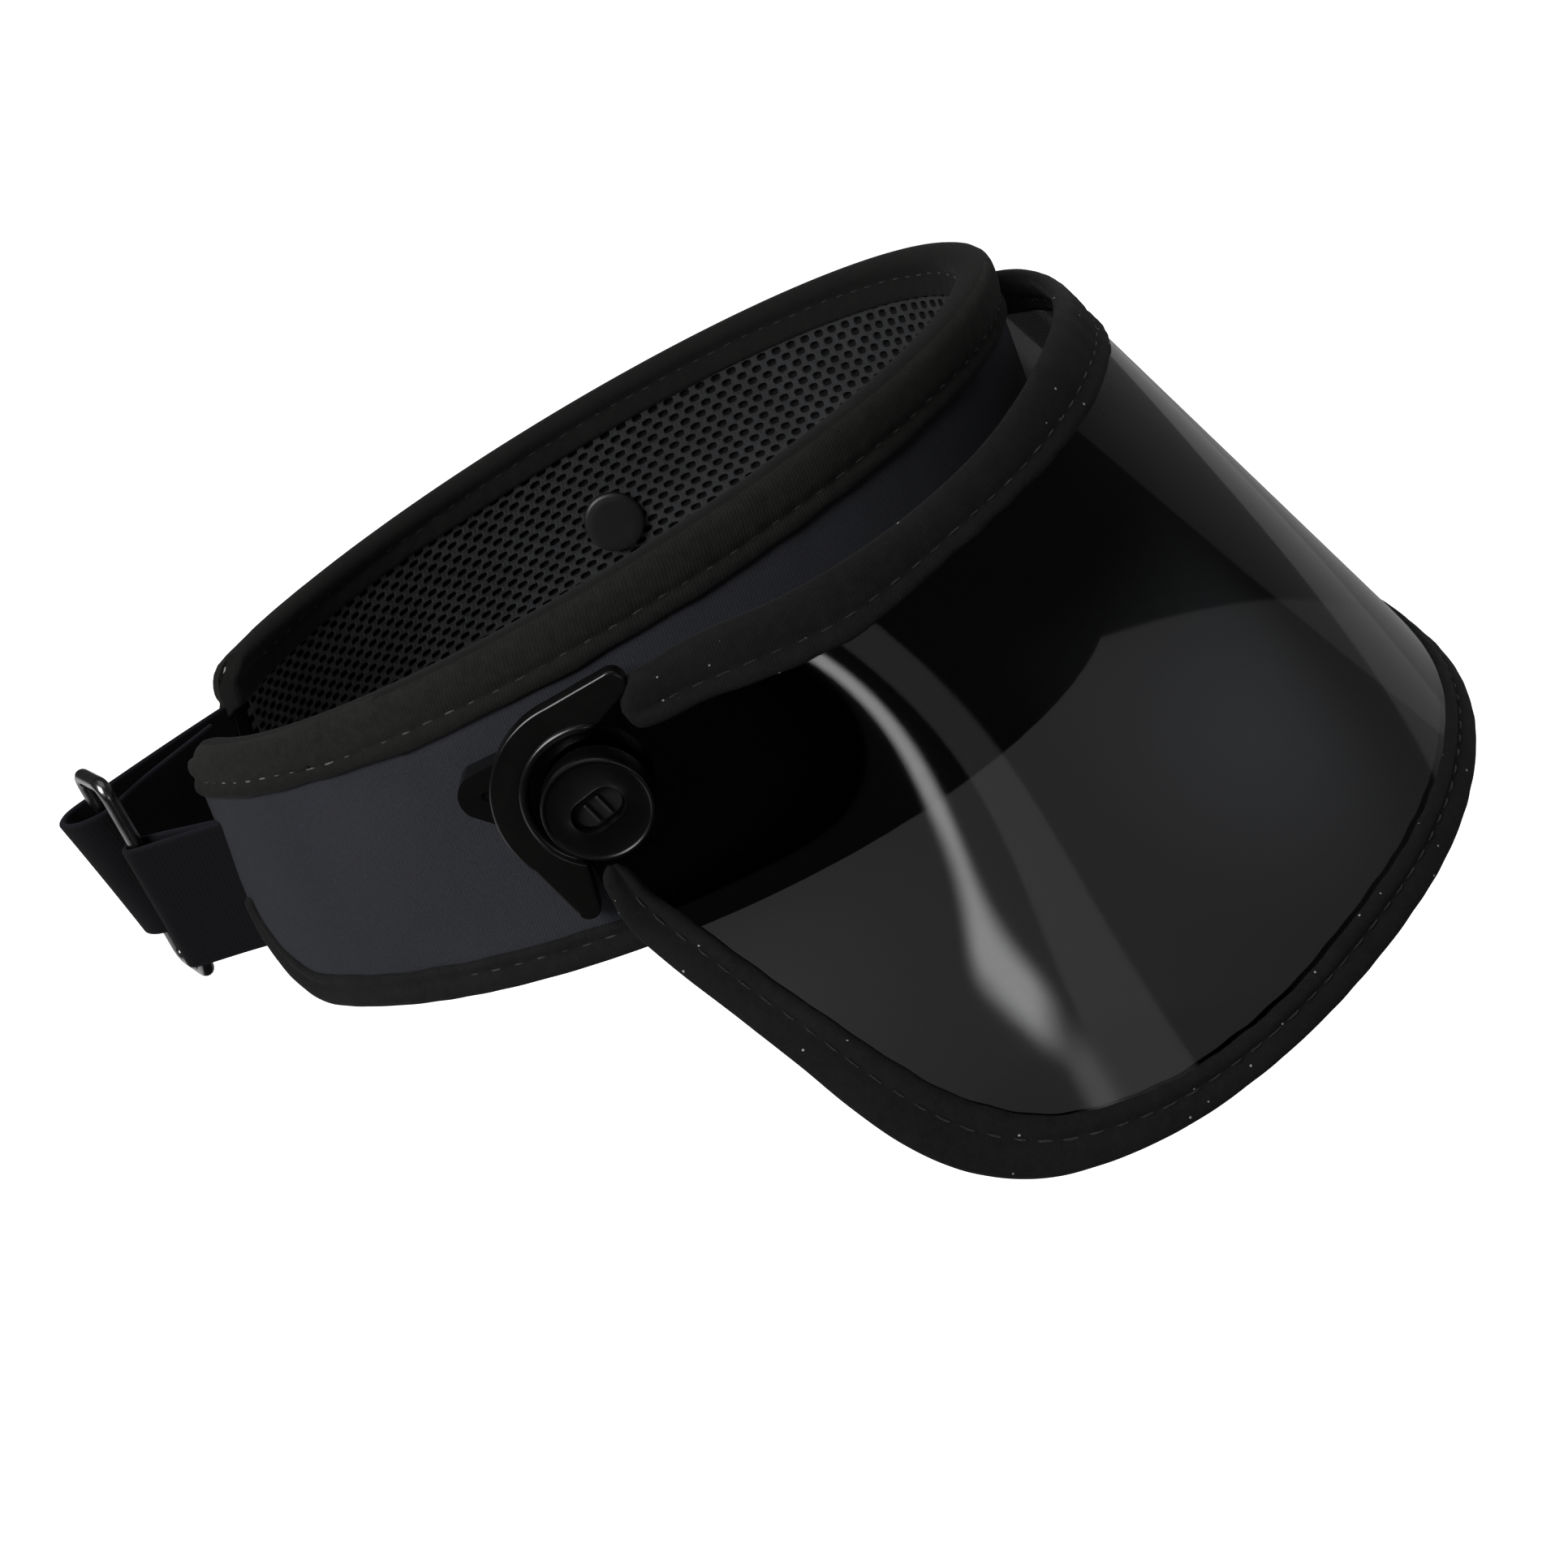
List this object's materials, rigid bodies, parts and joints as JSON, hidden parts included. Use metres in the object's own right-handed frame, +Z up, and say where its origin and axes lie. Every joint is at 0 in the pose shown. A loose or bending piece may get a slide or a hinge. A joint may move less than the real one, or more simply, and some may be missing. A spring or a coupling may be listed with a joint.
{
  "type": "sun visor headband",
  "caption": "Open-top sun visor: a padded elliptical headband with a dark tinted wrap-around brim hinged at both temples and an adjustable webbing strap at the back.",
  "frame": {"origin": "middle of the head opening, on the head's vertical axis and 4 mm in front of the hinge axis, at the hinge axis's height", "axes": "+Z up as worn, -Y the way the wearer faces, -X the wearer's right; the brim is lowered in front of the face at rest"},
  "size_m": [0.2116, 0.2763, 0.1324],
  "materials": {
    "band_fabric": "matte",
    "stiffener": "matte",
    "foam": "matte",
    "mesh_liner": "matte",
    "band_binding": "matte",
    "webbing": "matte",
    "hook_pad": "matte",
    "ring_metal": "polished",
    "lens_tint": "gloss",
    "visor_binding": "matte",
    "hinge_plastic": "satin",
    "pin_plastic": "matte",
    "felt": "matte",
    "clamp_plastic": "matte",
    "spring_steel": "satin"
  },
  "bodies": {
    "headband": {"band_fabric": "band_fabric", "band_stiffener": "stiffener", "band_foam": "foam", "band_liner": "mesh_liner", "band_binding_top": "band_binding", "band_binding_bottom": "band_binding", "strap_tab": "webbing", "strap_long": "webbing", "strap_hook_pad": "hook_pad", "base_plate_right": "hinge_plastic", "felt_washer_right": "felt", "wave_washer_right": "spring_steel", "knob_right": "hinge_plastic", "pin_right": "pin_plastic", "base_plate_left": "hinge_plastic", "felt_washer_left": "felt", "wave_washer_left": "spring_steel", "knob_left": "hinge_plastic", "pin_left": "pin_plastic"},
    "visor": {"visor_lens": "lens_tint", "visor_binding_top": "visor_binding", "visor_binding_rim": "visor_binding", "arm_plate_right": "hinge_plastic", "ear_clamp_right": "clamp_plastic", "arm_plate_left": "hinge_plastic", "ear_clamp_left": "clamp_plastic"},
    "ring": {"strap_ring": "ring_metal"}
  },
  "joints": [
    {"name": "visor_tilt", "type": "hinge", "parent": "headband", "child": "visor", "pos_m": [0, 0.0042, 0], "axis": [-1, 0, 0], "range_deg": [-10, 85]},
    {"name": "ring_swing", "type": "hinge", "parent": "headband", "child": "ring", "pos_m": [-0.033, 0.1005, -0.009], "axis": [0, 0, 1], "range_deg": [-5, 5]}
  ]
}
